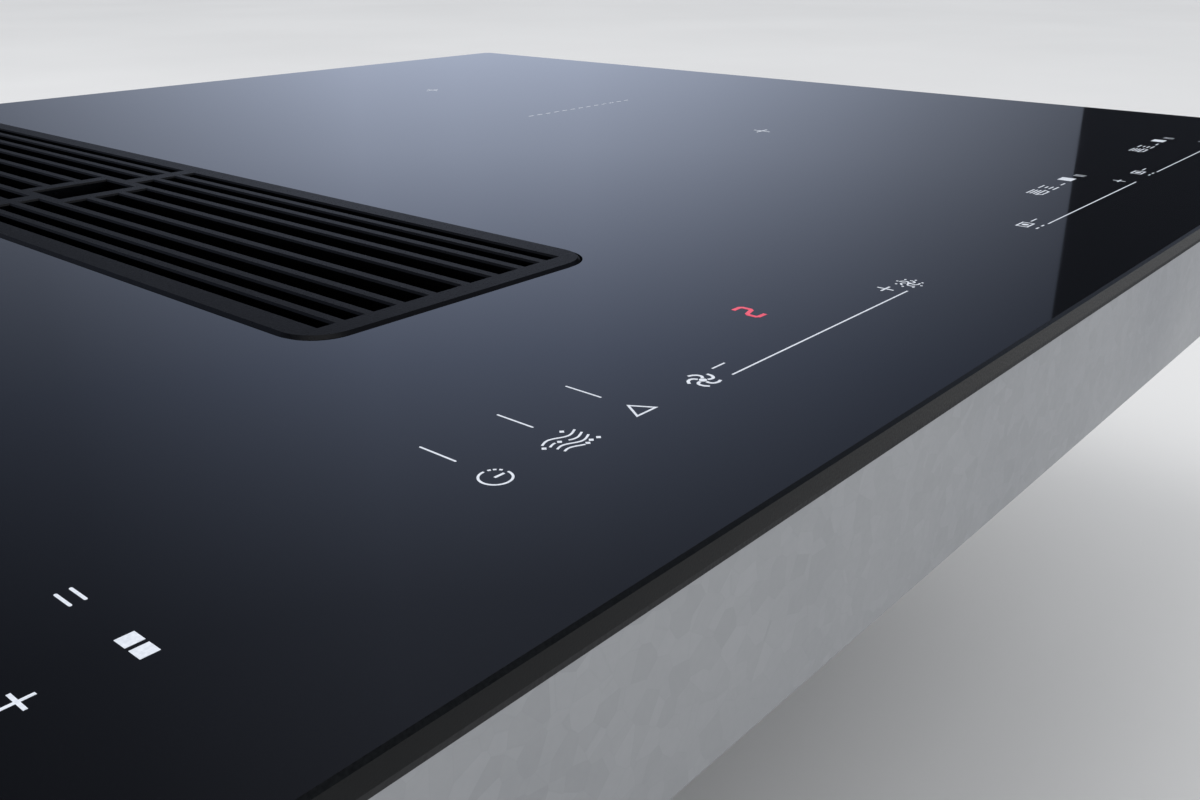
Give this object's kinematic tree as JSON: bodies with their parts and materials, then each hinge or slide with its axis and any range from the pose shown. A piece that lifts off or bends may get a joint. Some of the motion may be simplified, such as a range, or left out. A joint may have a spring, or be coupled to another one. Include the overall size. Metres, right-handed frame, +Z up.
{
  "type": "downdraft induction cooktop",
  "caption": "Flush black glass induction hob with a long slotted air grille in the middle and an extractor blower under its right half, for a worktop cut-out.",
  "frame": {"origin": "middle of the glass in plan, on the worktop plane under the sealing tape", "axes": "+X to the cook's right along the long side, +Y to the rear, +Z up out of the worktop"},
  "size_m": [0.8, 0.51, 0.2066],
  "materials": {
    "black_glass": "polished glass-ceramic, printed black behind",
    "grille_metal": "matt dark grey coating",
    "dark_rubber": "soft black",
    "zinc_sheet": "galvanised sheet, faintly spangled",
    "frame_aluminium": "mill finish",
    "duct_plastic": "moulded black, fine grain",
    "blower_plastic": "moulded dark grey, fine grain",
    "impeller_plastic": "moulded black",
    "filter_steel": "brushed stainless",
    "motor_steel": "turned steel",
    "magnet": "sintered, dull",
    "copper": "enamelled copper wire",
    "laminations": "stacked electrical steel",
    "ferrite": "sintered, dull",
    "former_plastic": "natural glass-filled plastic",
    "fibre_mat": "ceramic fibre felt",
    "circuit_board": "green solder mask",
    "heat_sink": "extruded",
    "black_resin": "moulded epoxy",
    "capacitor_case": "moulded box",
    "display_plastic": "smoked lens",
    "spring_steel": "bright",
    "screw_zinc": "bright zinc plate",
    "knob_plastic": "moulded black",
    "terminal_plastic": "moulded off-white"
  },
  "bodies": {
    "hob": {"air_shaft": "duct_plastic", "base_tray": "zinc_sheet", "blower_brackets": "zinc_sheet", "blower_lower_shell": "blower_plastic", "blower_pads": "dark_rubber", "blower_upper_shell": "blower_plastic", "cable_gland": "duct_plastic", "carrier_posts": "spring_steel", "case_screws": "screw_zinc", "clamp_screws": "screw_zinc", "coil_carriers": "heat_sink", "coil_formers": "former_plastic", "coil_mats": "fibre_mat", "coil_winding_front_left": "copper", "coil_winding_front_right": "copper", "coil_winding_rear_left": "copper", "coil_winding_rear_right": "copper", "display_modules": "display_plastic", "duct_spigot": "duct_plastic", "fan_housings": "duct_plastic", "ferrite_bars": "ferrite", "filter_capacitors": "capacitor_case", "filter_chokes": "copper", "glass_support_frame": "frame_aluminium", "glass_top": "black_glass", "heat_sinks": "heat_sink", "inlet_collar": "duct_plastic", "motor_bearings": "motor_steel", "motor_mount_plate": "motor_steel", "motor_rubber_mounts": "dark_rubber", "power_boards": "circuit_board", "power_transistors": "black_resin", "sealing_tape": "dark_rubber", "stator_core": "laminations", "stator_windings": "copper", "suction_box": "blower_plastic", "temperature_sensors": "spring_steel", "terminal_block": "terminal_plastic", "terminal_box": "duct_plastic", "terminal_cover": "duct_plastic", "touch_board": "circuit_board", "touch_board_holder": "terminal_plastic", "touch_pads": "spring_steel", "worktop_clamps": "zinc_sheet"},
    "grille": {"grille": "grille_metal", "grille_pads": "dark_rubber"},
    "grease_filter": {"filter_frame": "filter_steel", "filter_panels": "filter_steel", "filter_handle": "filter_steel"},
    "overflow_tray": {"overflow_tray": "duct_plastic", "tray_gasket": "dark_rubber"},
    "tray_screw_front": {"tray_screw_front": "knob_plastic"},
    "tray_screw_rear": {"tray_screw_rear": "knob_plastic"},
    "impeller": {"impeller": "impeller_plastic", "rotor_cup": "motor_steel", "magnet_ring": "magnet", "motor_shaft": "motor_steel"},
    "fan_rotor_left": {"fan_rotor_left": "impeller_plastic"},
    "fan_rotor_right": {"fan_rotor_right": "impeller_plastic"}
  },
  "joints": [
    {"name": "grille_lift", "type": "slide", "parent": "hob", "child": "grille", "axis": [0, 0, 1], "range_m": [0, 0.3]},
    {"name": "filter_lift", "type": "slide", "parent": "hob", "child": "grease_filter", "axis": [0, 0, 1], "range_m": [0, 0.15]},
    {"name": "tray_drop", "type": "slide", "parent": "hob", "child": "overflow_tray", "axis": [0, 0, -1], "range_m": [0, 0.06]},
    {"name": "tray_screw_front_turn", "type": "hinge", "parent": "overflow_tray", "child": "tray_screw_front", "pos_m": [0, -0.158, -0.19], "axis": [0, 0, -1], "range_deg": [0, 90]},
    {"name": "tray_screw_rear_turn", "type": "hinge", "parent": "overflow_tray", "child": "tray_screw_rear", "pos_m": [0, 0.22, -0.19], "axis": [0, 0, -1], "range_deg": [0, 90]},
    {"name": "impeller_spin", "type": "hinge", "parent": "hob", "child": "impeller", "pos_m": [0.185, 0.01, -0.181], "axis": [0, 0, 1], "continuous": true},
    {"name": "fan_left_spin", "type": "hinge", "parent": "hob", "child": "fan_rotor_left", "pos_m": [-0.25, -0.192, -0.0475], "axis": [0, 0, 1], "continuous": true},
    {"name": "fan_right_spin", "type": "hinge", "parent": "hob", "child": "fan_rotor_right", "pos_m": [0.25, -0.192, -0.0475], "axis": [0, 0, 1], "continuous": true}
  ],
  "couplings": [
    {"joint": "filter_lift", "follows": "grille_lift", "ratio": 0.5}
  ]
}
